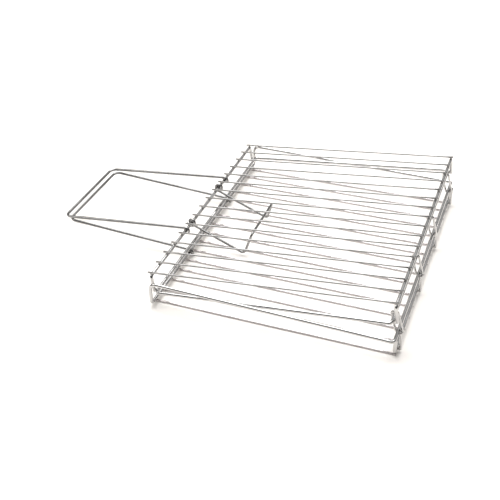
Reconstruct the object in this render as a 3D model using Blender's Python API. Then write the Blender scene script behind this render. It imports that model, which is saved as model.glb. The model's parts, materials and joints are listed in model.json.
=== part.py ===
"""Wire grill basket: two hinged wire trays that close on the food, each with a long U-shaped handle.

Metres, +Z up. X runs along the bars, from the handles (-X) to the hinge (+X). Y runs along the hinge.
The lower tray lies flat on z = 0. The origin is under the middle of the whole object's box.
"""

import math

import bpy
from mathutils import Matrix, Vector

# Wires
BAR_DIAMETER = 0.0022  # grid bars
FRAME_DIAMETER = 0.0040  # rims and cross wires
HANDLE_DIAMETER = 0.0035
BAIL_DIAMETER = 0.0030  # press bail
LINK_DIAMETER = 0.0025  # hinge links
POST_DIAMETER = 0.0030  # uprights beside the links
TUBE_SIDES = 8  # flats round every wire
WELD_GAP = 0.0003  # room left between two wires that are welded together
RUN_GAP = 0.00035  # room between a wire and a loop that turns on it

# Both grids
TRAY_LENGTH = 0.2690  # between the centres of the upper cross wires
BAR_COUNT = 16
BAR_PITCH = 0.0200
HANDLE_SIDE_OVERHANG = 0.0040  # bar end beyond its cross wire
POST_INSET = 0.0015  # a cross wire's turned end, outwards from the last bar
POST_BEND = 0.0030

# Upper tray
UPPER_DEPTH = 0.0220  # from the rim to the bars
RIM_REACH = 0.0060  # rim's side wire beyond the last bar
RIM_BEND = 0.0040
UPPER_HINGE_OVERHANG = 0.0030
RIM_STANDOFF = 0.0122  # rim's handle-side wire above the lower cross wire, centre to centre

# Lower tray
LOWER_DEPTH = 0.0245  # from the bars to the rim, at the hinge
LOWER_RISE = 0.0060  # how much higher the side wires are at the handle side
LOWER_SHORTFALL = 0.0010  # how much shorter it is than the upper tray
NEST_GAP = 0.0008  # between the two trays' side wires
LOWER_BEND = 0.0080  # where a side wire turns down to the cross wire
LOWER_CORNER = 0.0040
LOWER_HINGE_OVERHANG = 0.0020

# Hinge
LINK_SPAN = 0.0199  # between the two wires in a link
LINK_LEAN = math.radians(15.2)  # from upright, towards the handles
LINK_GAPS = (-7, -2, 2, 7)  # which gaps between bars, counted from the middle one
UPRIGHT_STEP = 0.0042  # an upright's distance along the rim from its link
UPRIGHT_PROUD = 0.0015  # upright's end beyond the wire it is welded to

# Handles
HANDLE_LENGTH = 0.1640  # upper handle, beyond its cross wire
HANDLE_GAP = 3  # which gap between bars the arms lie in
HANDLE_BEND = 0.0080
HANDLE_HOOK = 0.0055  # how far an arm's end turns down behind the cross wire
LOWER_HANDLE_INSET = 0.0050  # how much shorter the lower handle is
GRIP_GAP = 0.0006  # between the upper arms and the lower handle's end

# Press bail
BAIL_GAP = 2  # which gap between bars each arm lies in
BAIL_REACH = 0.0646  # from the pivot to the feet
BAIL_FOOT_Z = 0.0032  # feet above the table, down between two lower bars
BAIL_RISE = 0.0262  # from the feet to the crossbar
BAIL_NOSE = 0.0084  # crossbar beyond the feet
BAIL_TAPER = 0.0050  # how far each riser leans inwards
BAIL_BEND = 0.0045
EYE_TURNS = 1.25
EYE_GAP = 0.0003  # between two turns

# Fineness of the curved stretches
BEND_STEPS = 5
LINK_STEPS = 10
EYE_STEPS = 20
SAME_POINT = 1e-5  # two points closer than this are one

# Worked out
BAR_RADIUS = BAR_DIAMETER / 2
FRAME_RADIUS = FRAME_DIAMETER / 2
HANDLE_RADIUS = HANDLE_DIAMETER / 2
BAIL_RADIUS = BAIL_DIAMETER / 2
LINK_RADIUS = LINK_DIAMETER / 2
POST_RADIUS = POST_DIAMETER / 2
FLAT_RATIO = math.cos(math.pi / TUBE_SIDES)  # centre to flat, over centre to corner

GRID_HALF_WIDTH = BAR_PITCH * (BAR_COUNT - 1) / 2
TURNED_END_Y = GRID_HALF_WIDTH + POST_INSET
RIM_Y = GRID_HALF_WIDTH + RIM_REACH
LOWER_SIDE_Y = RIM_Y + FRAME_DIAMETER + NEST_GAP
BAR_TO_CROSS = BAR_RADIUS + WELD_GAP + FRAME_RADIUS
CROSS_TO_RIM = FRAME_DIAMETER + WELD_GAP
CROSS_TO_HANDLE = FRAME_RADIUS + WELD_GAP + HANDLE_RADIUS

LOWER_BAR_Z = BAR_RADIUS * FLAT_RATIO
LOWER_CROSS_Z = LOWER_BAR_Z + BAR_TO_CROSS
LOWER_SIDE_Z = LOWER_BAR_Z + LOWER_DEPTH

# The upper tray is measured from the middle of its hinge-side rim wire, which is the hinge axis.
HINGE_Z = LOWER_SIDE_Z + LINK_SPAN * math.cos(LINK_LEAN)
RIM_LENGTH = TRAY_LENGTH - 2 * CROSS_TO_RIM
TILT = math.asin((HINGE_Z - LOWER_CROSS_Z - RIM_STANDOFF) / RIM_LENGTH)
UPPER_CROSS = UPPER_DEPTH - BAR_TO_CROSS  # cross wires above the rim
UPPER_LEFT = CROSS_TO_RIM - TRAY_LENGTH  # handle-side cross wire
UPPER_RIGHT = CROSS_TO_RIM  # hinge-side cross wire
UPPER_HANDLE_LEVEL = UPPER_CROSS + CROSS_TO_HANDLE


def upper_to_tray(x, z):
    """Turn (x, z), measured in the closed upper tray from the hinge axis, to lie along the table."""
    return (
        x * math.cos(TILT) - z * math.sin(TILT),
        x * math.sin(TILT) + z * math.cos(TILT),
    )


HANDLE_TIP = upper_to_tray(UPPER_LEFT - HANDLE_LENGTH, UPPER_HANDLE_LEVEL)
LEFT_REACH = HANDLE_RADIUS - HANDLE_TIP[0]
LINK_OFFSET = LINK_SPAN * math.sin(LINK_LEAN)
UPRIGHT_OFFSET = FRAME_RADIUS + WELD_GAP + POST_RADIUS
RIGHT_REACH = LINK_OFFSET + UPRIGHT_OFFSET + POST_RADIUS
HINGE_X = (LEFT_REACH - RIGHT_REACH) / 2  # puts the origin under the middle of the box
LOWER_RIGHT = HINGE_X + LINK_OFFSET  # lower rim's hinge-side wire
LOWER_LEFT = LOWER_RIGHT - TRAY_LENGTH + LOWER_SHORTFALL  # lower tray's handle-side cross wire
HANDLE_Y = HANDLE_GAP * BAR_PITCH


def clear_scene():
    for obj in list(bpy.data.objects):
        bpy.data.objects.remove(obj)
    for group in list(bpy.data.collections):
        bpy.data.collections.remove(group)


def wire_finish(name, colour, roughness):
    finish = bpy.data.materials.new(name)
    finish.use_nodes = True
    shader = finish.node_tree.nodes["Principled BSDF"]
    shader.inputs["Base Color"].default_value = (*colour, 1.0)
    shader.inputs["Roughness"].default_value = roughness
    shader.inputs["Metallic"].default_value = 1.0
    finish.diffuse_color = (*colour, 1.0)
    return finish


def merged(points):
    """The points without any that repeat the one before."""
    out = [points[0]]
    for point in points[1:]:
        if (point - out[-1]).length > SAME_POINT:
            out.append(point)
    return out


def rounded(points, radii, closed=False):
    """The polyline's points, with each corner replaced by an arc of its radius (None leaves it sharp)."""
    points = [Vector(p) for p in points]
    count = len(points)
    out = []
    for i, corner in enumerate(points):
        radius = radii[i] if isinstance(radii, (list, tuple)) else radii
        if radius is None or (not closed and i in (0, count - 1)):
            out.append(corner)
            continue
        back = (points[i - 1] - corner).normalized()
        ahead = (points[(i + 1) % count] - corner).normalized()
        half = back.angle(ahead) / 2
        centre = corner + (back + ahead).normalized() * radius / math.sin(half)
        start = corner + back * radius / math.tan(half) - centre
        sweep = math.pi - 2 * half
        axis = start.cross(corner - centre).normalized()
        for k in range(BEND_STEPS + 1):
            out.append(centre + Matrix.Rotation(sweep * k / BEND_STEPS, 3, axis) @ start)
    return merged(out)


def arc_xz(centre, radius, start, turn, y_step, steps):
    """Points round a centre in the XZ plane, stepping along Y. Angle 0 is +X, and it turns towards +Z."""
    points = []
    for k in range(steps + 1):
        angle = start + turn * k / steps
        x = centre[0] + radius * math.cos(angle)
        z = centre[2] + radius * math.sin(angle)
        points.append(Vector((x, centre[1] + y_step * k / steps, z)))
    return points


def wire(name, points, diameter, finish, group, parent=None, closed=False, twist="MINIMUM"):
    """One round wire along the points, with flat ends."""
    curve = bpy.data.curves.new(name, "CURVE")
    curve.dimensions = "3D"
    curve.bevel_depth = diameter / 2
    curve.bevel_resolution = TUBE_SIDES // 2 - 2
    curve.use_fill_caps = True
    curve.twist_mode = twist
    spline = curve.splines.new("POLY")
    spline.points.add(len(points) - 1)
    for place, point in zip(spline.points, points):
        place.co = (*point, 1.0)
        place.tilt = math.pi / TUBE_SIDES
    spline.use_cyclic_u = closed
    obj = bpy.data.objects.new(name, curve)
    obj.data.materials.append(finish)
    obj.parent = parent
    group.objects.link(obj)
    return obj


def pivot(name, place, turn_y, group, parent=None):
    """An empty on a joint's axis, which the moving wires hang from."""
    empty = bpy.data.objects.new(name, None)
    empty.empty_display_size = 0.01
    empty.location = place
    empty.rotation_euler = (0.0, turn_y, 0.0)
    empty.parent = parent
    group.objects.link(empty)
    return empty


def grid_bars(prefix, x_from, x_to, z, finish, group, parent=None):
    """The grid's straight bars. Each has a flat that faces straight down."""
    for i in range(BAR_COUNT):
        y = (i - (BAR_COUNT - 1) / 2) * BAR_PITCH
        ends = [(x_from, y, z), (x_to, y, z)]
        wire(f"{prefix}_bar_{i + 1:02d}", ends, BAR_DIAMETER, finish, group, parent, twist="Z_UP")


def cross_wire(name, x, z, end_z, finish, group, parent=None):
    """A wire across the bars whose two ends turn up or down to a rim."""
    corners = [
        (x, -TURNED_END_Y, end_z),
        (x, -TURNED_END_Y, z),
        (x, TURNED_END_Y, z),
        (x, TURNED_END_Y, end_z),
    ]
    return wire(name, rounded(corners, POST_BEND), FRAME_DIAMETER, finish, group, parent)


def handle(name, cross, tip, finish, group, parent=None):
    """A U of wire that lies on top of a cross wire. Each arm's end turns down behind that wire."""
    x, z = cross
    top = z + CROSS_TO_HANDLE
    arm = [
        (x + CROSS_TO_HANDLE, top - HANDLE_HOOK),
        (x + CROSS_TO_HANDLE, top),
        (x, top),
        tip,
    ]
    corners = [(p[0], -HANDLE_Y, p[1]) for p in arm] + [(p[0], HANDLE_Y, p[1]) for p in reversed(arm)]
    radii = [None, CROSS_TO_HANDLE, None, HANDLE_BEND, HANDLE_BEND, None, CROSS_TO_HANDLE, None]
    return wire(name, rounded(corners, radii), HANDLE_DIAMETER, finish, group, parent)


def hinge_link(name, y, finish, group):
    """A closed oblong loop of wire round the two trays' hinge-side rim wires."""
    radius = FRAME_RADIUS + RUN_GAP + LINK_RADIUS
    top = arc_xz((HINGE_X, y, HINGE_Z), radius, LINK_LEAN, math.pi, 0.0, LINK_STEPS)
    bottom = arc_xz((LOWER_RIGHT, y, LOWER_SIDE_Z), radius, LINK_LEAN + math.pi, math.pi, 0.0, LINK_STEPS)
    return wire(name, top + bottom, LINK_DIAMETER, finish, group, closed=True)


def upright(name, y, finish, group):
    """A short post outside the lower tray, welded to its low cross wire and to its rim."""
    x = LOWER_RIGHT + UPRIGHT_OFFSET
    ends = [(x, y, LOWER_CROSS_Z - UPRIGHT_PROUD), (x, y, LOWER_SIDE_Z + UPRIGHT_PROUD)]
    return wire(name, ends, POST_DIAMETER, finish, group)


def press_bail(finish, group, parent, drop):
    """A bail that turns on the upper cross wire. Its arms slope down by drop, then rise to a crossbar."""
    eye_radius = FRAME_RADIUS + RUN_GAP + BAIL_RADIUS
    eye_width = EYE_TURNS * (BAIL_DIAMETER + EYE_GAP)
    half = BAIL_GAP * BAR_PITCH
    distance = math.hypot(BAIL_REACH, drop)
    slope = math.atan2(drop, BAIL_REACH) - math.asin(eye_radius / distance)
    away = Vector((-math.sin(slope), 0.0, -math.cos(slope))) * eye_radius
    near = [
        Vector((away.x, -half, away.z)),
        Vector((BAIL_REACH, -half, -drop)),
        Vector((BAIL_REACH + BAIL_NOSE, BAIL_TAPER - half, BAIL_RISE - drop)),
    ]
    corners = near + [Vector((p.x, -p.y, p.z)) for p in reversed(near)]
    middle = rounded(corners, [None, BAIL_BEND, BAIL_BEND, BAIL_BEND, BAIL_BEND, None])
    start = math.atan2(away.z, away.x)
    turn = -2 * math.pi * EYE_TURNS
    eyes = []
    for side in (-1, 1):
        centre = (0.0, side * half, 0.0)
        eyes.append(arc_xz(centre, eye_radius, start, turn, side * eye_width, EYE_STEPS)[1:])
    path = list(reversed(eyes[0])) + middle + eyes[1]
    return wire("press_bail", path, BAIL_DIAMETER, finish, group, parent)


def lower_tray(bar_finish, frame_finish, link_finish, group):
    x_from, x_to = LOWER_LEFT - HANDLE_SIDE_OVERHANG, LOWER_RIGHT + LOWER_HINGE_OVERHANG
    grid_bars("lower", x_from, x_to, LOWER_BAR_Z, bar_finish, group)
    left_z = LOWER_SIDE_Z + LOWER_RISE
    corners = [
        (LOWER_LEFT, -LOWER_SIDE_Y, LOWER_CROSS_Z),
        (LOWER_LEFT, -LOWER_SIDE_Y, left_z),
        (LOWER_RIGHT, -LOWER_SIDE_Y, LOWER_SIDE_Z),
        (LOWER_RIGHT, LOWER_SIDE_Y, LOWER_SIDE_Z),
        (LOWER_LEFT, LOWER_SIDE_Y, left_z),
        (LOWER_LEFT, LOWER_SIDE_Y, LOWER_CROSS_Z),
    ]
    radii = [LOWER_CORNER, LOWER_BEND, LOWER_CORNER, LOWER_CORNER, LOWER_BEND, LOWER_CORNER]
    loop = rounded(corners, radii, closed=True)
    wire("lower_frame", loop, FRAME_DIAMETER, frame_finish, group, closed=True)
    end_z = LOWER_SIDE_Z - FRAME_DIAMETER - WELD_GAP
    cross_wire("lower_hinge_cross", LOWER_RIGHT, LOWER_CROSS_Z, end_z, frame_finish, group)
    for number, gap in enumerate(LINK_GAPS, 1):
        y = gap * BAR_PITCH
        hinge_link(f"hinge_link_{number}", y, link_finish, group)
        upright(f"hinge_upright_{number}", y + math.copysign(UPRIGHT_STEP, y), link_finish, group)


def upper_tray(bar_finish, frame_finish, group, hinge):
    """The upper tray, measured from the hinge axis."""
    x_from, x_to = UPPER_LEFT - HANDLE_SIDE_OVERHANG, UPPER_RIGHT + UPPER_HINGE_OVERHANG
    grid_bars("upper", x_from, x_to, UPPER_DEPTH, bar_finish, group, hinge)
    corners = [
        (-RIM_LENGTH, -RIM_Y, 0.0),
        (0.0, -RIM_Y, 0.0),
        (0.0, RIM_Y, 0.0),
        (-RIM_LENGTH, RIM_Y, 0.0),
    ]
    loop = rounded(corners, RIM_BEND, closed=True)
    wire("upper_rim", loop, FRAME_DIAMETER, frame_finish, group, hinge, closed=True)
    cross_wire("upper_handle_cross", UPPER_LEFT, UPPER_CROSS, -FRAME_RADIUS, frame_finish, group, hinge)
    cross_wire("upper_hinge_cross", UPPER_RIGHT, UPPER_CROSS, -FRAME_RADIUS, frame_finish, group, hinge)


def handles(finish, group, hinge):
    upper_tip = (UPPER_LEFT - HANDLE_LENGTH, UPPER_HANDLE_LEVEL)
    handle("upper_handle", (UPPER_LEFT, UPPER_CROSS), upper_tip, finish, group, hinge)
    under = upper_to_tray(upper_tip[0] + LOWER_HANDLE_INSET, UPPER_HANDLE_LEVEL - HANDLE_DIAMETER - GRIP_GAP)
    lower_tip = (HINGE_X + under[0], HINGE_Z + under[1])
    handle("lower_handle", (LOWER_LEFT, LOWER_CROSS_Z), lower_tip, finish, group)


def main():
    clear_scene()
    basket = bpy.data.collections.new("grill_basket")
    bpy.context.scene.collection.children.link(basket)
    bar_finish = wire_finish("bright_bar_wire", (0.80, 0.79, 0.78), 0.20)
    frame_finish = wire_finish("bright_frame_wire", (0.78, 0.78, 0.78), 0.16)
    handle_finish = wire_finish("bright_handle_wire", (0.76, 0.76, 0.76), 0.14)
    hinge = pivot("upper_hinge_axis", (HINGE_X, 0.0, HINGE_Z), -TILT, basket)
    lower_tray(bar_finish, frame_finish, frame_finish, basket)
    upper_tray(bar_finish, frame_finish, basket, hinge)
    handles(handle_finish, basket, hinge)
    bail_axis = pivot("bail_axis", (UPPER_LEFT, 0.0, UPPER_CROSS), TILT, basket, hinge)
    bail_height = HINGE_Z + upper_to_tray(UPPER_LEFT, UPPER_CROSS)[1]
    drop = bail_height - BAIL_FOOT_Z
    press_bail(handle_finish, basket, bail_axis, drop)


main()
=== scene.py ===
"""Looks of the wire grill basket: smooth round wires, welds, bright plating, floor, light and camera.

Metres, in the CAD model's frame. The upper tray's paths are measured from the hinge axis and then tilted.
"""

import json
import math
import random

import bmesh
import bpy
from mathutils import Matrix, Vector


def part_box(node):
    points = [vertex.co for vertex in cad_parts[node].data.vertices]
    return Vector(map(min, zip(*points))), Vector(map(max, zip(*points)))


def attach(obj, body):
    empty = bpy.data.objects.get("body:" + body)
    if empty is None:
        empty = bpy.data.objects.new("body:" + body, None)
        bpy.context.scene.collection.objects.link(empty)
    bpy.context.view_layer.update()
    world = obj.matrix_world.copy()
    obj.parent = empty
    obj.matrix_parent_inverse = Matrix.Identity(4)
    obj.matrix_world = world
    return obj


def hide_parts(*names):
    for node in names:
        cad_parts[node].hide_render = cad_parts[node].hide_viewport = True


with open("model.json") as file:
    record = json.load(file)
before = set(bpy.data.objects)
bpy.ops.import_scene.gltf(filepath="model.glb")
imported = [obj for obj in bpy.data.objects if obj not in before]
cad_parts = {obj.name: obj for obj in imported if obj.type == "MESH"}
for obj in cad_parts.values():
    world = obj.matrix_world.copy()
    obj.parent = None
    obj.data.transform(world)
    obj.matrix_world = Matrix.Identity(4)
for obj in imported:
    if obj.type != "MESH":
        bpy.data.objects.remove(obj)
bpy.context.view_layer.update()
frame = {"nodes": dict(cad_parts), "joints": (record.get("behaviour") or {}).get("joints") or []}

# Wires, as in the CAD model
BAR_DIAMETER = 0.0022
FRAME_DIAMETER = 0.0040
HANDLE_DIAMETER = 0.0035
BAIL_DIAMETER = 0.0030
LINK_DIAMETER = 0.0025
POST_DIAMETER = 0.0030
WELD_GAP = 0.0003
RUN_GAP = 0.00035

TRAY_LENGTH = 0.2690
BAR_PITCH = 0.0200
TURNED_END_Y = 0.1515
POST_BEND = 0.0030
UPPER_DEPTH = 0.0220
RIM_Y = 0.1560
RIM_BEND = 0.0040
LOWER_LENGTH = 0.2680
LOWER_DEPTH = 0.0245
LOWER_RISE = 0.0060
LOWER_SIDE_Y = 0.1608
LOWER_BEND = 0.0080
LOWER_CORNER = 0.0040
LINK_SPAN = 0.0199
LINK_LEAN = math.radians(15.2)
LINK_GAPS = (-7, -2, 2, 7)
UPRIGHT_STEP = 0.0042
UPRIGHT_PROUD = 0.0015
HANDLE_LENGTH = 0.1640
HANDLE_GAP = 3
HANDLE_BEND = 0.0080
HANDLE_HOOK = 0.0055
LOWER_HANDLE_INSET = 0.0050
GRIP_GAP = 0.0006
BAIL_GAP = 2
BAIL_REACH = 0.0646
BAIL_FOOT_Z = 0.0032
BAIL_RISE = 0.0262
BAIL_NOSE = 0.0084
BAIL_TAPER = 0.0050
BAIL_BEND = 0.0045
EYE_TURNS = 1.25
EYE_GAP = 0.0003

# Looks
SIDES = 16  # faces round a wire
BEND_STEPS = 10
CHAMFER = 0.22  # of a wire's radius, at its cut ends
RUN_STEP = 0.024  # longest stretch of wire between two rings
BAR_WAVE = 0.00012  # how far a bar wanders sideways
SEAM_PROUD = 0.06  # of the radius, at a loop's butt weld
SEAM_WIDTH = 0.0009
SEAM_Y = 0.012  # where a tray's closed loop was welded shut
BAR_STEPS = 12
LINK_STEPS = 16
EYE_STEPS = 52
SAME_POINT = 1e-5  # two points closer than this are one

# Weld beads: length, width and height
BAR_WELD = (0.0034, 0.0025, 0.0016)
HANDLE_WELD = (0.0048, 0.0036, 0.0020)
CROSS_END_WELD = (0.0034, 0.0028, 0.0018)
RISER_WELD = (0.0036, 0.0040, 0.0016)
UPRIGHT_WELD = (0.0030, 0.0030, 0.0016)

random.seed(7)

# Worked out
BAR_RADIUS = BAR_DIAMETER / 2
FRAME_RADIUS = FRAME_DIAMETER / 2
HANDLE_RADIUS = HANDLE_DIAMETER / 2
BAIL_RADIUS = BAIL_DIAMETER / 2
LINK_RADIUS = LINK_DIAMETER / 2
POST_RADIUS = POST_DIAMETER / 2
BAR_TO_CROSS = BAR_RADIUS + WELD_GAP + FRAME_RADIUS
CROSS_TO_RIM = FRAME_DIAMETER + WELD_GAP
CROSS_TO_HANDLE = FRAME_RADIUS + WELD_GAP + HANDLE_RADIUS
HANDLE_Y = HANDLE_GAP * BAR_PITCH
JOINTS = {joint["name"]: joint for joint in frame["joints"]}
HINGE = Vector(JOINTS["basket_open"]["pos_m"])
BAIL_AXIS = Vector(JOINTS["bail_swing"]["pos_m"])


def bar_ends(node):
    """The centres of a straight bar's two ends, from its CAD mesh."""
    low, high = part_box(node)
    middle = (low[0] + high[0]) / 2
    ends = []
    for left in (True, False):
        points = [v.co for v in frame["nodes"][node].data.vertices if (v.co.x < middle) == left]
        lowest = Vector([min(p[i] for p in points) for i in range(3)])
        highest = Vector([max(p[i] for p in points) for i in range(3)])
        ends.append((lowest + highest) / 2)
    return ends


UPPER_BAR_ENDS = bar_ends("upper_bar_01")
ALONG = (UPPER_BAR_ENDS[1] - UPPER_BAR_ENDS[0]).normalized()
TILT = math.atan2(ALONG.z, ALONG.x)
LOWER_BAR_Z = bar_ends("lower_bar_01")[0].z
LOWER_CROSS_Z = LOWER_BAR_Z + BAR_TO_CROSS
LOWER_SIDE_Z = LOWER_BAR_Z + LOWER_DEPTH
LOWER_RIGHT = HINGE.x + LINK_SPAN * math.sin(LINK_LEAN)
LOWER_LEFT = LOWER_RIGHT - LOWER_LENGTH
RIM_LENGTH = TRAY_LENGTH - 2 * CROSS_TO_RIM
UPPER_CROSS = UPPER_DEPTH - BAR_TO_CROSS
UPPER_LEFT = CROSS_TO_RIM - TRAY_LENGTH
UPPER_RIGHT = CROSS_TO_RIM
UPPER_HANDLE_LEVEL = UPPER_CROSS + CROSS_TO_HANDLE


def tilted(points):
    """Points measured from the hinge axis in the closed upper tray, in the object's frame."""
    turn = Matrix.Rotation(-TILT, 3, "Y")
    return [HINGE + turn @ Vector(p) for p in points]


# Paths


def merged(points):
    """The points without any that repeat the one before."""
    out = [points[0]]
    for point in points[1:]:
        if (point - out[-1]).length > SAME_POINT:
            out.append(point)
    return out


def rounded(points, radii, closed=False):
    """The polyline's points, with each corner replaced by an arc of its radius (None leaves it sharp)."""
    points = [Vector(p) for p in points]
    count = len(points)
    out = []
    for i, corner in enumerate(points):
        radius = radii[i] if isinstance(radii, (list, tuple)) else radii
        if radius is None or (not closed and i in (0, count - 1)):
            out.append(corner)
            continue
        back = (points[i - 1] - corner).normalized()
        ahead = (points[(i + 1) % count] - corner).normalized()
        half = back.angle(ahead) / 2
        centre = corner + (back + ahead).normalized() * radius / math.sin(half)
        start = corner + back * radius / math.tan(half) - centre
        axis = start.cross(corner - centre).normalized()
        for k in range(BEND_STEPS + 1):
            out.append(centre + Matrix.Rotation((math.pi - 2 * half) * k / BEND_STEPS, 3, axis) @ start)
    return merged(out)


def arc_xz(centre, radius, start, turn, y_step, steps):
    """Points round a centre in the XZ plane, stepping along Y. Angle 0 is +X, and it turns towards +Z."""
    points = []
    for k in range(steps + 1):
        angle = start + turn * k / steps
        x = centre[0] + radius * math.cos(angle)
        z = centre[2] + radius * math.sin(angle)
        points.append(Vector((x, centre[1] + y_step * k / steps, z)))
    return points


def stepped(points, closed=False):
    """The same path with long straight stretches divided."""
    out = []
    last = len(points) if closed else len(points) - 1
    for i in range(last):
        start, end = points[i], points[(i + 1) % len(points)]
        parts = max(1, math.ceil((end - start).length / RUN_STEP))
        out += [start.lerp(end, k / parts) for k in range(parts)]
    if not closed:
        out.append(points[-1])
    return out


# Meshes


def rings_along(points, closed):
    """A sideways and an upward direction at each point, carried along the path without twist."""
    count = len(points)
    tangents = []
    for i in range(count):
        before = points[i - 1] if closed or i > 0 else points[i]
        after = points[(i + 1) % count] if closed or i < count - 1 else points[i]
        tangents.append((after - before).normalized())
    start = Vector((0, 0, 1)) if abs(tangents[0].z) < 0.9 else Vector((1, 0, 0))
    side = (start - tangents[0] * start.dot(tangents[0])).normalized()
    sides = [side]
    for i in range(1, count):
        turn = tangents[i - 1].rotation_difference(tangents[i])
        side = turn @ side
        side = (side - tangents[i] * side.dot(tangents[i])).normalized()
        sides.append(side)
    twist = 0.0
    if closed:
        back = tangents[-1].rotation_difference(tangents[0]) @ side
        twist = math.atan2(back.cross(sides[0]).dot(tangents[0]), back.dot(sides[0]))
    out = []
    for i in range(count):
        side = Matrix.Rotation(twist * i / count, 3, tangents[i]) @ sides[i]
        out.append((side, tangents[i].cross(side)))
    return tangents, out


def add_ring(bm, centre, side, up, radius):
    ring = []
    for k in range(SIDES):
        angle = 2 * math.pi * k / SIDES
        ring.append(bm.verts.new(centre + (side * math.cos(angle) + up * math.sin(angle)) * radius))
    return ring


def bridge(bm, first, second):
    for k in range(SIDES):
        n = (k + 1) % SIDES
        face = bm.faces.new((first[k], first[n], second[n], second[k]))
        face.smooth = True


def cap(bm, centre, side, up, outward, radius, ring):
    """Close a wire's last ring with a small chamfer and a flat end."""
    lip = add_ring(bm, centre + outward * radius * CHAMFER, side, up, radius * (1 - CHAMFER))
    for k in range(SIDES):
        n = (k + 1) % SIDES
        bm.faces.new((ring[k], ring[n], lip[n], lip[k]))
    bm.faces.new(lip)


def wire_mesh(name, points, diameter, closed=False, seam=None):
    """A round wire along the points. A closed loop may have a slightly proud butt weld near seam."""
    radius = diameter / 2
    points = stepped(points, closed)
    swell = [1.0] * len(points)
    if seam is not None:
        at = min(range(len(points)), key=lambda i: (points[i] - seam).length)
        ahead = (points[(at + 1) % len(points)] - points[at]).normalized()
        middle = points[at]
        extra = [middle + ahead * SEAM_WIDTH * k for k in (-1.0, -0.4, 0.0, 0.4, 1.0)]
        points[at : at + 1] = extra
        swell[at : at + 1] = [1.0, 1.0 + SEAM_PROUD, 1.0 + SEAM_PROUD * 1.2, 1.0 + SEAM_PROUD, 1.0]
    if not closed:
        for end, inner in ((0, 1), (-1, -2)):
            points[end] = points[end] + (points[inner] - points[end]).normalized() * radius * CHAMFER
    tangents, sides = rings_along(points, closed)
    bm = bmesh.new()
    rings = []
    for point, (side, up), size in zip(points, sides, swell):
        rings.append(add_ring(bm, point, side, up, radius * size))
    for first, second in zip(rings, rings[1:]):
        bridge(bm, first, second)
    if closed:
        bridge(bm, rings[-1], rings[0])
    else:
        cap(bm, points[0], *sides[0], -tangents[0], radius, rings[0])
        cap(bm, points[-1], *sides[-1], tangents[-1], radius, rings[-1])
    bmesh.ops.recalc_face_normals(bm, faces=bm.faces)
    mesh = bpy.data.meshes.new(name)
    bm.to_mesh(mesh)
    bm.free()
    return mesh


def new_object(name, mesh, material, body):
    obj = bpy.data.objects.new(name, mesh)
    bpy.context.scene.collection.objects.link(obj)
    obj.data.materials.append(material)
    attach(obj, body)
    return obj


def wire(node, points, diameter, material, body, closed=False, seam=None):
    obj = new_object(f"{node}_wire", wire_mesh(node, points, diameter, closed, seam), material, body)
    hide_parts(node)
    return obj


def bead(bm, place, along, across, length, width, height):
    """One weld bead: a smooth flattened blob in the pinch between two wires."""
    along = along.normalized()
    across = (across - along * across.dot(along)).normalized()
    turn = Matrix((along, across, along.cross(across))).transposed().to_4x4()
    grow = Matrix.Diagonal((length / 2, width / 2, height / 2, 1.0))
    matrix = Matrix.Translation(place) @ turn @ grow
    bmesh.ops.create_uvsphere(bm, u_segments=12, v_segments=8, radius=1.0, matrix=matrix)


def beads(name, places, material, body):
    """Weld beads as one object. Each is (place, along, across, length, width, height)."""
    bm = bmesh.new()
    for item in places:
        bead(bm, *item)
    for face in bm.faces:
        face.smooth = True
    mesh = bpy.data.meshes.new(name)
    bm.to_mesh(mesh)
    bm.free()
    return new_object(name, mesh, material, body)


# Materials


def plating(name, dark, light, rough, roughest, grain):
    """Bright plated steel: clouded tone, uneven polish and fine drawn lines."""
    material = bpy.data.materials.new(name)
    material.use_nodes = True
    nodes, links = material.node_tree.nodes, material.node_tree.links
    shader = nodes["Principled BSDF"]
    shader.inputs["Metallic"].default_value = 1.0
    place = nodes.new("ShaderNodeTexCoord")

    cloud = nodes.new("ShaderNodeTexNoise")
    cloud.inputs["Scale"].default_value = 38.0
    cloud.inputs["Detail"].default_value = 4.0
    tone = nodes.new("ShaderNodeValToRGB")
    tone.color_ramp.elements[0].position = 0.32
    tone.color_ramp.elements[0].color = (*dark, 1.0)
    tone.color_ramp.elements[1].position = 0.68
    tone.color_ramp.elements[1].color = (*light, 1.0)
    links.new(place.outputs["Object"], cloud.inputs["Vector"])
    links.new(cloud.outputs["Fac"], tone.inputs["Fac"])
    links.new(tone.outputs["Color"], shader.inputs["Base Color"])

    polish = nodes.new("ShaderNodeTexNoise")
    polish.inputs["Scale"].default_value = 160.0
    polish.inputs["Detail"].default_value = 6.0
    spread = nodes.new("ShaderNodeMapRange")
    spread.inputs["From Min"].default_value = 0.3
    spread.inputs["From Max"].default_value = 0.7
    spread.inputs["To Min"].default_value = rough
    spread.inputs["To Max"].default_value = roughest
    links.new(place.outputs["Object"], polish.inputs["Vector"])
    links.new(polish.outputs["Fac"], spread.inputs["Value"])
    links.new(spread.outputs["Result"], shader.inputs["Roughness"])

    stretch = nodes.new("ShaderNodeMapping")
    stretch.inputs["Scale"].default_value = grain
    lines = nodes.new("ShaderNodeTexNoise")
    lines.inputs["Scale"].default_value = 900.0
    lines.inputs["Detail"].default_value = 2.0
    bump = nodes.new("ShaderNodeBump")
    bump.inputs["Strength"].default_value = 0.12
    bump.inputs["Distance"].default_value = 0.0002
    links.new(place.outputs["Object"], stretch.inputs["Vector"])
    links.new(stretch.outputs["Vector"], lines.inputs["Vector"])
    links.new(lines.outputs["Fac"], bump.inputs["Height"])
    links.new(bump.outputs["Normal"], shader.inputs["Normal"])
    return material


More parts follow.
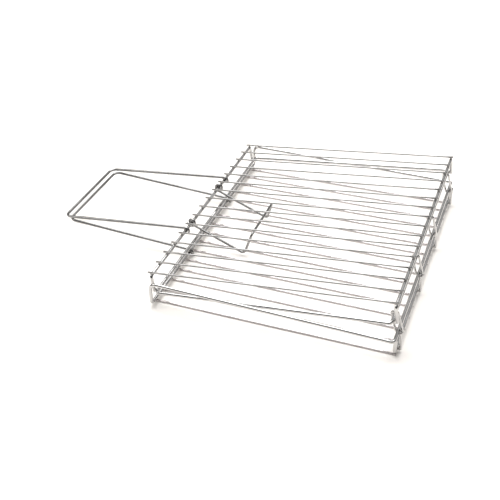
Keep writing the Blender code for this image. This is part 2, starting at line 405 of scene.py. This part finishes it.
ALONG_X = (0.06, 1.0, 1.0)
EVERY_WAY = (1.0, 1.0, 1.0)
BAR_TONES = (0.33, 0.325, 0.32), (0.43, 0.423, 0.417)
# Lower bars: the same plating as the upper bars, painted lighter; the extra lightness is a painted reflection
# of the white floor below them.
LOWER_BAR_PAINTED_REFLECTION_TONES = (0.62, 0.585, 0.59), (0.76, 0.72, 0.725)
# Frames: the same plating, painted lighter; the extra lightness is a painted highlight, the bright studio
# reflection that wires running along Y show.
FRAME_PAINTED_HIGHLIGHT_TONES = (0.48, 0.475, 0.47), (0.61, 0.605, 0.60)
# Handles and bail: the same plating, painted darker; the extra darkness is painted shade, the dark reflection
# that wires running along X show.
HANDLE_PAINTED_SHADE_TONES = (0.23, 0.228, 0.225), (0.32, 0.317, 0.314)
WELD_TONES = (0.34, 0.33, 0.32), (0.48, 0.47, 0.46)
BAR_PLATING = plating("bar_plating", *BAR_TONES, 0.12, 0.20, ALONG_X)
# The lower bars' plating carries a painted reflection of the floor in its lighter tones.
LOWER_BAR_PLATING_PAINTED_REFLECTION = plating("lower_bar_plating_painted_reflection", *LOWER_BAR_PAINTED_REFLECTION_TONES, 0.16, 0.28, ALONG_X)
# The frames', links' and uprights' plating carries a painted highlight in its lighter tones.
FRAME_PLATING_PAINTED_HIGHLIGHT = plating("frame_plating_painted_highlight", *FRAME_PAINTED_HIGHLIGHT_TONES, 0.06, 0.12, EVERY_WAY)
# The handles' and bail's plating carries painted shade in its darker tones.
HANDLE_PLATING_PAINTED_SHADE = plating("handle_plating_painted_shade", *HANDLE_PAINTED_SHADE_TONES, 0.06, 0.12, EVERY_WAY)
WELD_METAL = plating("weld_metal", *WELD_TONES, 0.30, 0.48, EVERY_WAY)

# Grid bars


def bar_path(node):
    start, end = bar_ends(node)
    path = []
    shift = random.uniform(0.0, 2 * math.pi)
    for k in range(BAR_STEPS + 1):
        part = k / BAR_STEPS
        point = start.lerp(end, part)
        fade = math.sin(math.pi * part)
        point.y += BAR_WAVE * fade * math.sin(2.2 * math.pi * part + shift)
        path.append(point)
    return path


for half, finish in (("lower", LOWER_BAR_PLATING_PAINTED_REFLECTION), ("upper", BAR_PLATING)):
    for number in range(1, 17):
        name = f"{half}_bar_{number:02d}"
        wire(name, bar_path(name), BAR_DIAMETER, finish, f"{half}_half")


# Frames


def cross_path(x, z, end_z):
    corners = [
        (x, -TURNED_END_Y, end_z),
        (x, -TURNED_END_Y, z),
        (x, TURNED_END_Y, z),
        (x, TURNED_END_Y, end_z),
    ]
    return rounded(corners, POST_BEND)


rim = rounded(
    [(-RIM_LENGTH, -RIM_Y, 0.0), (0.0, -RIM_Y, 0.0), (0.0, RIM_Y, 0.0), (-RIM_LENGTH, RIM_Y, 0.0)],
    RIM_BEND,
    closed=True,
)
rim_seam = tilted([(-RIM_LENGTH, SEAM_Y, 0.0)])[0]
wire("upper_rim", tilted(rim), FRAME_DIAMETER, FRAME_PLATING_PAINTED_HIGHLIGHT, "upper_half", True, rim_seam)
for node, x in (("upper_handle_cross", UPPER_LEFT), ("upper_hinge_cross", UPPER_RIGHT)):
    path = tilted(cross_path(x, UPPER_CROSS, -FRAME_RADIUS))
    wire(node, path, FRAME_DIAMETER, FRAME_PLATING_PAINTED_HIGHLIGHT, "upper_half")

lower_loop = rounded(
    [
        (LOWER_LEFT, -LOWER_SIDE_Y, LOWER_CROSS_Z),
        (LOWER_LEFT, -LOWER_SIDE_Y, LOWER_SIDE_Z + LOWER_RISE),
        (LOWER_RIGHT, -LOWER_SIDE_Y, LOWER_SIDE_Z),
        (LOWER_RIGHT, LOWER_SIDE_Y, LOWER_SIDE_Z),
        (LOWER_LEFT, LOWER_SIDE_Y, LOWER_SIDE_Z + LOWER_RISE),
        (LOWER_LEFT, LOWER_SIDE_Y, LOWER_CROSS_Z),
    ],
    [LOWER_CORNER, LOWER_BEND, LOWER_CORNER, LOWER_CORNER, LOWER_BEND, LOWER_CORNER],
    closed=True,
)
lower_seam = Vector((LOWER_RIGHT, SEAM_Y, LOWER_SIDE_Z))
wire("lower_frame", lower_loop, FRAME_DIAMETER, FRAME_PLATING_PAINTED_HIGHLIGHT, "lower_half", True, lower_seam)
path = cross_path(LOWER_RIGHT, LOWER_CROSS_Z, LOWER_SIDE_Z - FRAME_DIAMETER - WELD_GAP)
wire("lower_hinge_cross", path, FRAME_DIAMETER, FRAME_PLATING_PAINTED_HIGHLIGHT, "lower_half")

# Hinge links and uprights
link_radius = FRAME_RADIUS + RUN_GAP + LINK_RADIUS
upright_x = LOWER_RIGHT + FRAME_RADIUS + WELD_GAP + POST_RADIUS
for number, gap in enumerate(LINK_GAPS, 1):
    y = gap * BAR_PITCH
    top = arc_xz((HINGE.x, y, HINGE.z), link_radius, LINK_LEAN, math.pi, 0.0, LINK_STEPS)
    low = (LOWER_RIGHT, y, LOWER_SIDE_Z)
    bottom = arc_xz(low, link_radius, LINK_LEAN + math.pi, math.pi, 0.0, LINK_STEPS)
    link_seam = (top[-1] + bottom[0]) / 2
    side = stepped([top[-1], link_seam, bottom[0]])
    loop = top + side[1:-1] + bottom
    node = f"hinge_link_{number}"
    wire(node, loop, LINK_DIAMETER, FRAME_PLATING_PAINTED_HIGHLIGHT, "lower_half", True, link_seam)
    post_y = y + math.copysign(UPRIGHT_STEP, y)
    ends = [
        Vector((upright_x, post_y, LOWER_CROSS_Z - UPRIGHT_PROUD)),
        Vector((upright_x, post_y, LOWER_SIDE_Z + UPRIGHT_PROUD)),
    ]
    wire(f"hinge_upright_{number}", ends, POST_DIAMETER, FRAME_PLATING_PAINTED_HIGHLIGHT, "lower_half")


# Handles


def handle_path(cross, tip):
    x, z = cross
    top = z + CROSS_TO_HANDLE
    arm = [(x + CROSS_TO_HANDLE, top - HANDLE_HOOK), (x + CROSS_TO_HANDLE, top), (x, top), tip]
    corners = [(p[0], -HANDLE_Y, p[1]) for p in arm] + [(p[0], HANDLE_Y, p[1]) for p in reversed(arm)]
    radii = [None, CROSS_TO_HANDLE, None, HANDLE_BEND, HANDLE_BEND, None, CROSS_TO_HANDLE, None]
    return rounded(corners, radii)


upper_tip = (UPPER_LEFT - HANDLE_LENGTH, UPPER_HANDLE_LEVEL)
path = tilted(handle_path((UPPER_LEFT, UPPER_CROSS), upper_tip))
wire("upper_handle", path, HANDLE_DIAMETER, HANDLE_PLATING_PAINTED_SHADE, "upper_half")
under = tilted([(upper_tip[0] + LOWER_HANDLE_INSET, 0.0, UPPER_HANDLE_LEVEL - HANDLE_DIAMETER - GRIP_GAP)])[0]
path = handle_path((LOWER_LEFT, LOWER_CROSS_Z), (under.x, under.z))
wire("lower_handle", path, HANDLE_DIAMETER, HANDLE_PLATING_PAINTED_SHADE, "lower_half")


# Press bail


def bail_path():
    eye_radius = FRAME_RADIUS + RUN_GAP + BAIL_RADIUS
    eye_width = EYE_TURNS * (BAIL_DIAMETER + EYE_GAP)
    half = BAIL_GAP * BAR_PITCH
    drop = BAIL_AXIS.z - BAIL_FOOT_Z
    slope = math.atan2(drop, BAIL_REACH) - math.asin(eye_radius / math.hypot(BAIL_REACH, drop))
    away = Vector((-math.sin(slope), 0.0, -math.cos(slope))) * eye_radius
    near = [
        Vector((away.x, -half, away.z)),
        Vector((BAIL_REACH, -half, -drop)),
        Vector((BAIL_REACH + BAIL_NOSE, BAIL_TAPER - half, BAIL_RISE - drop)),
    ]
    corners = near + [Vector((p.x, -p.y, p.z)) for p in reversed(near)]
    middle = rounded(corners, [None, BAIL_BEND, BAIL_BEND, BAIL_BEND, BAIL_BEND, None])
    start = math.atan2(away.z, away.x)
    eyes = []
    for side in (-1, 1):
        turn = -2 * math.pi * EYE_TURNS
        centre = (0.0, side * half, 0.0)
        eyes.append(arc_xz(centre, eye_radius, start, turn, side * eye_width, EYE_STEPS)[1:])
    return [BAIL_AXIS + p for p in list(reversed(eyes[0])) + middle + eyes[1]]


wire("press_bail", bail_path(), BAIL_DIAMETER, HANDLE_PLATING_PAINTED_SHADE, "press_bail")

# Welds
X, Y, Z = Vector((1, 0, 0)), Vector((0, 1, 0)), Vector((0, 0, 1))
UP = Matrix.Rotation(-TILT, 3, "Y") @ Z

lower_welds, upper_welds = [], []
pinch = BAR_RADIUS + WELD_GAP / 2  # from a bar's centre to the weld under or over it
for number in range(1, 17):
    y = bar_ends(f"lower_bar_{number:02d}")[0].y
    for x in (LOWER_LEFT, LOWER_RIGHT):
        place = Vector((x, y, LOWER_BAR_Z + pinch))
        lower_welds.append((place, X, Y, *BAR_WELD))
    for x in (UPPER_LEFT, UPPER_RIGHT):
        place = tilted([(x, y, UPPER_DEPTH - pinch)])[0]
        upper_welds.append((place, ALONG, Y, *BAR_WELD))
for side in (-1, 1):
    arm_top = CROSS_TO_HANDLE / 2
    place = Vector((LOWER_LEFT, side * HANDLE_Y, LOWER_CROSS_Z + arm_top))
    lower_welds.append((place, X, Y, *HANDLE_WELD))
    place = tilted([(UPPER_LEFT, side * HANDLE_Y, UPPER_CROSS + arm_top)])[0]
    upper_welds.append((place, ALONG, Y, *HANDLE_WELD))
    for x in (UPPER_LEFT + CROSS_TO_RIM / 2, UPPER_RIGHT - CROSS_TO_RIM / 2):
        place = tilted([(x, side * (TURNED_END_Y - 0.001), 0.0)])[0]
        upper_welds.append((place, UP, Y, *CROSS_END_WELD))
    place = Vector((LOWER_RIGHT, side * TURNED_END_Y, LOWER_SIDE_Z - FRAME_RADIUS - WELD_GAP / 2))
    lower_welds.append((place, X, Y, *RISER_WELD))
for gap in LINK_GAPS:
    post_y = gap * BAR_PITCH + math.copysign(UPRIGHT_STEP, gap)
    for z in (LOWER_CROSS_Z, LOWER_SIDE_Z):
        place = Vector((LOWER_RIGHT + FRAME_RADIUS + WELD_GAP / 2, post_y, z))
        lower_welds.append((place, Z, Y, *UPRIGHT_WELD))
beads("lower_welds", lower_welds, WELD_METAL, "lower_half")
beads("upper_welds", upper_welds, WELD_METAL, "upper_half")

# Floor, light and camera


def floor_material():
    material = bpy.data.materials.new("pale_floor")
    material.use_nodes = True
    shader = material.node_tree.nodes["Principled BSDF"]
    shader.inputs["Base Color"].default_value = (0.95, 0.915, 0.875, 1.0)
    shader.inputs["Roughness"].default_value = 0.75
    shader.inputs["Specular IOR Level"].default_value = 0.2
    return material


FLOOR_Z = -0.0002  # just under the round bars, which reach slightly lower than the CAD's flats
bpy.ops.mesh.primitive_plane_add(size=8.0, location=(0.0, 0.0, FLOOR_Z))
floor = bpy.context.object
floor.name = "floor"
floor.data.materials.append(floor_material())


def area_light(name, place, aim, size, power, colour=(1.0, 1.0, 1.0)):
    data = bpy.data.lights.new(name, "AREA")
    data.shape = "DISK"
    data.size = size
    data.energy = power
    data.color = colour
    light = bpy.data.objects.new(name, data)
    light.location = place
    light.rotation_euler = (Vector(aim) - Vector(place)).to_track_quat("-Z", "Y").to_euler()
    bpy.context.scene.collection.objects.link(light)
    return light


area_light("top_light", (-0.3, 0.5, 1.9), (0.0, 0.0, 0.0), 2.2, 50.0)
area_light("side_light", (-1.7, -0.6, 1.3), (0.0, 0.0, 0.0), 1.2, 10.0, (1.0, 0.98, 0.95))

BACKDROP = (0.90, 0.89, 0.87, 1.0)  # what a camera sees past the floor
DARKEST = 0.22
# Each fade is a direction, and how far towards it the studio is still dark and first white.
FADES = [((-0.2, 0.55, 0.8), 0.30, 0.60), ((0.0, 0.0, 1.0), 0.16, 0.85)]
MIX_FIRST, MIX_SECOND, MIX_RESULT = 6, 7, 2  # a Mix node's sockets for colours


def studio():
    """White overhead and behind, dark in front and along the horizon. The wires reflect it."""
    world = bpy.data.worlds.new("studio")
    world.use_nodes = True
    nodes, links = world.node_tree.nodes, world.node_tree.links
    direction = nodes.new("ShaderNodeTexCoord")
    bright = []
    for towards, dark_until, white_from in FADES:
        share = nodes.new("ShaderNodeVectorMath")
        share.operation = "DOT_PRODUCT"
        share.inputs[1].default_value = towards
        fade = nodes.new("ShaderNodeMapRange")
        fade.inputs["From Min"].default_value = dark_until
        fade.inputs["From Max"].default_value = white_from
        fade.inputs["To Min"].default_value = DARKEST
        links.new(direction.outputs["Generated"], share.inputs[0])
        links.new(share.outputs["Value"], fade.inputs["Value"])
        bright.append(fade.outputs["Result"])
    both = nodes.new("ShaderNodeMath")
    both.operation = "MULTIPLY"
    links.new(bright[0], both.inputs[0])
    links.new(bright[1], both.inputs[1])
    seen = nodes.new("ShaderNodeLightPath")
    backdrop = nodes.new("ShaderNodeMix")
    backdrop.data_type = "RGBA"
    backdrop.inputs[MIX_SECOND].default_value = BACKDROP
    links.new(seen.outputs["Is Camera Ray"], backdrop.inputs["Factor"])
    links.new(both.outputs["Value"], backdrop.inputs[MIX_FIRST])
    links.new(backdrop.outputs[MIX_RESULT], nodes["Background"].inputs["Color"])
    nodes["Background"].inputs["Strength"].default_value = 1.0
    bpy.context.scene.world = world


studio()
bpy.context.scene.view_settings.view_transform = "Standard"

CAMERA_PLACE = Vector((0.3179, -0.7926, 0.5929))
CAMERA_AIM = Vector((0.0116, -0.0271, 0.0))
CAMERA_ROLL = math.radians(-1.8)
camera_data = bpy.data.cameras.new("camera")
camera_data.sensor_width = 36.0
camera_data.lens = 61.14
camera = bpy.data.objects.new("camera", camera_data)
camera.location = CAMERA_PLACE
facing = (CAMERA_AIM - CAMERA_PLACE).to_track_quat("-Z", "Y").to_matrix()
camera.rotation_euler = (facing @ Matrix.Rotation(CAMERA_ROLL, 3, "Z")).to_euler()
bpy.context.scene.collection.objects.link(camera)
bpy.context.scene.camera = camera
